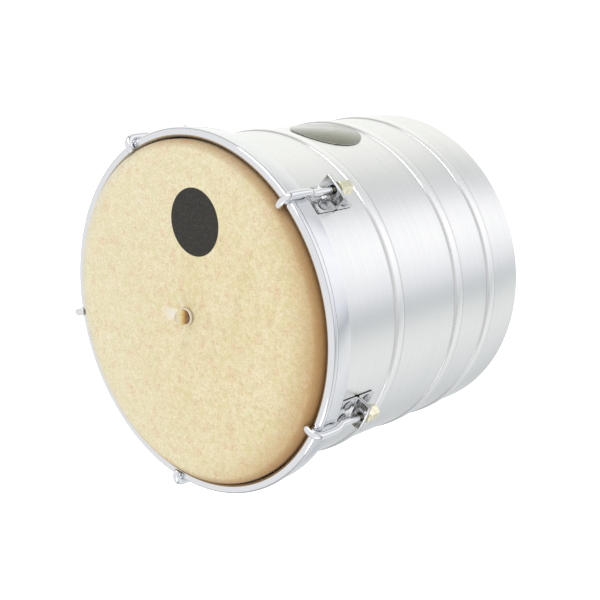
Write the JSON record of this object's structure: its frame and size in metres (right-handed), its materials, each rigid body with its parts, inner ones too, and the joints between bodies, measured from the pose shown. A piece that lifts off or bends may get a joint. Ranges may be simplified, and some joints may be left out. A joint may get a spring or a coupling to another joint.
{
  "type": "cuica friction drum",
  "caption": "Friction drum with a ribbed metal shell, a hide head under a tuned counterhoop with hooks and nuts, and a rubbing stick that hangs inside.",
  "frame": {"origin": "on the drum's axis, in the plane of the flat open end that it stands on", "axes": "+Z along the drum's axis, from the open end to the head; the first hook is 9 degrees from +X towards +Y"},
  "size_m": [0.2224, 0.2224, 0.2008],
  "materials": {
    "shell": "brushed round the drum, clear",
    "foil": "dark printed foil",
    "hide": "dry goat rawhide, mottled",
    "steel": "plain steel",
    "cane": "bare cane, dry",
    "thread": "waxed thread",
    "chrome": "polished chrome plate",
    "zinc": "pale yellow zinc plate"
  },
  "bodies": {
    "shell": {"shell": "shell", "badge_plate": "foil", "bracket_1": "chrome", "bracket_2": "chrome", "bracket_3": "chrome", "bracket_4": "chrome", "bracket_5": "chrome", "rivet_1_1": "steel", "rivet_1_2": "steel", "rivet_1_3": "steel", "rivet_1_4": "steel", "rivet_2_1": "steel", "rivet_2_2": "steel", "rivet_2_3": "steel", "rivet_2_4": "steel", "rivet_3_1": "steel", "rivet_3_2": "steel", "rivet_3_3": "steel", "rivet_3_4": "steel", "rivet_4_1": "steel", "rivet_4_2": "steel", "rivet_4_3": "steel", "rivet_4_4": "steel", "rivet_5_1": "steel", "rivet_5_2": "steel", "rivet_5_3": "steel", "rivet_5_4": "steel", "washer_1": "zinc", "washer_2": "zinc", "washer_3": "zinc", "washer_4": "zinc", "washer_5": "zinc"},
    "rim": {"hoop_wire": "chrome", "hoop_band": "chrome"},
    "head": {"skin": "hide", "flesh_hoop": "steel", "tie": "thread"},
    "stick": {"stick": "cane"},
    "hook_1": {"hook_1": "chrome"},
    "nut_1": {"nut_1": "zinc"},
    "hook_2": {"hook_2": "chrome"},
    "nut_2": {"nut_2": "zinc"},
    "hook_3": {"hook_3": "chrome"},
    "nut_3": {"nut_3": "zinc"},
    "hook_4": {"hook_4": "chrome"},
    "nut_4": {"nut_4": "zinc"},
    "hook_5": {"hook_5": "chrome"},
    "nut_5": {"nut_5": "zinc"}
  },
  "joints": [
    {"name": "rim_slide", "type": "slide", "parent": "shell", "child": "rim", "axis": [0, 0, 1], "range_m": [0, 0.003]},
    {"name": "head_slide", "type": "slide", "parent": "shell", "child": "head", "axis": [0, 0, 1], "range_m": [0, 0.003]},
    {"name": "stick_swing", "type": "hinge", "parent": "head", "child": "stick", "pos_m": [0, 0, 0.1964], "axis": [1, 0, 0], "range_deg": [-4, 4], "stiffness_Nm_per_rad": 0.05},
    {"name": "hook_1_slide", "type": "slide", "parent": "shell", "child": "hook_1", "axis": [0, 0, 1], "range_m": [0, 0.003]},
    {"name": "nut_1_turn", "type": "hinge", "parent": "shell", "child": "nut_1", "pos_m": [0.10795, 0.0171, 0.1425], "axis": [0, 0, 1], "range_deg": [-1350, 0]},
    {"name": "hook_2_slide", "type": "slide", "parent": "shell", "child": "hook_2", "axis": [0, 0, 1], "range_m": [0, 0.003]},
    {"name": "nut_2_turn", "type": "hinge", "parent": "shell", "child": "nut_2", "pos_m": [0.0171, 0.10795, 0.1425], "axis": [0, 0, 1], "range_deg": [-1350, 0]},
    {"name": "hook_3_slide", "type": "slide", "parent": "shell", "child": "hook_3", "axis": [0, 0, 1], "range_m": [0, 0.003]},
    {"name": "nut_3_turn", "type": "hinge", "parent": "shell", "child": "nut_3", "pos_m": [-0.09739, 0.04962, 0.1425], "axis": [0, 0, 1], "range_deg": [-1350, 0]},
    {"name": "hook_4_slide", "type": "slide", "parent": "shell", "child": "hook_4", "axis": [0, 0, 1], "range_m": [0, 0.003]},
    {"name": "nut_4_turn", "type": "hinge", "parent": "shell", "child": "nut_4", "pos_m": [-0.07729, -0.07729, 0.1425], "axis": [0, 0, 1], "range_deg": [-1350, 0]},
    {"name": "hook_5_slide", "type": "slide", "parent": "shell", "child": "hook_5", "axis": [0, 0, 1], "range_m": [0, 0.003]},
    {"name": "nut_5_turn", "type": "hinge", "parent": "shell", "child": "nut_5", "pos_m": [0.04962, -0.09739, 0.1425], "axis": [0, 0, 1], "range_deg": [-1350, 0]}
  ],
  "couplings": [
    {"joint": "head_slide", "follows": "rim_slide", "ratio": 1},
    {"joint": "hook_1_slide", "follows": "rim_slide", "ratio": 1},
    {"joint": "nut_1_turn", "follows": "rim_slide", "rad_per_m": -7854},
    {"joint": "hook_2_slide", "follows": "rim_slide", "ratio": 1},
    {"joint": "nut_2_turn", "follows": "rim_slide", "rad_per_m": -7854},
    {"joint": "hook_3_slide", "follows": "rim_slide", "ratio": 1},
    {"joint": "nut_3_turn", "follows": "rim_slide", "rad_per_m": -7854},
    {"joint": "hook_4_slide", "follows": "rim_slide", "ratio": 1},
    {"joint": "nut_4_turn", "follows": "rim_slide", "rad_per_m": -7854},
    {"joint": "hook_5_slide", "follows": "rim_slide", "ratio": 1},
    {"joint": "nut_5_turn", "follows": "rim_slide", "rad_per_m": -7854}
  ]
}
